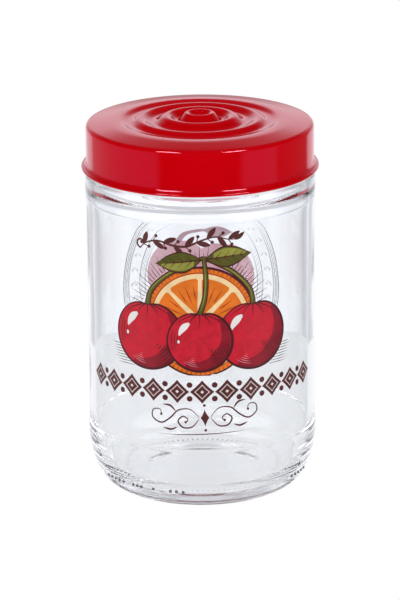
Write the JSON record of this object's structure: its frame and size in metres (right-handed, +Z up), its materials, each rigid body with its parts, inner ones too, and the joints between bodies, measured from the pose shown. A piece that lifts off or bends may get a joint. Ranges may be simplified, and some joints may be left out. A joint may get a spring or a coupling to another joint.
{
  "type": "glass storage jar",
  "caption": "Round clear glass storage jar with a straight printed panel, a large rounded heel and a glossy red plastic screw lid with a rippled top.",
  "frame": {"origin": "middle of the foot, on the surface the jar stands on", "axes": "+Z up along the jar's axis, the printed front faces -Y, +X to the right of that front"},
  "size_m": [0.0916, 0.0916, 0.1486],
  "materials": {
    "glass": "clear, polished",
    "lid": "glossy"
  },
  "bodies": {
    "root": {"jar": "glass", "lid": "lid"}
  },
  "joints": []
}
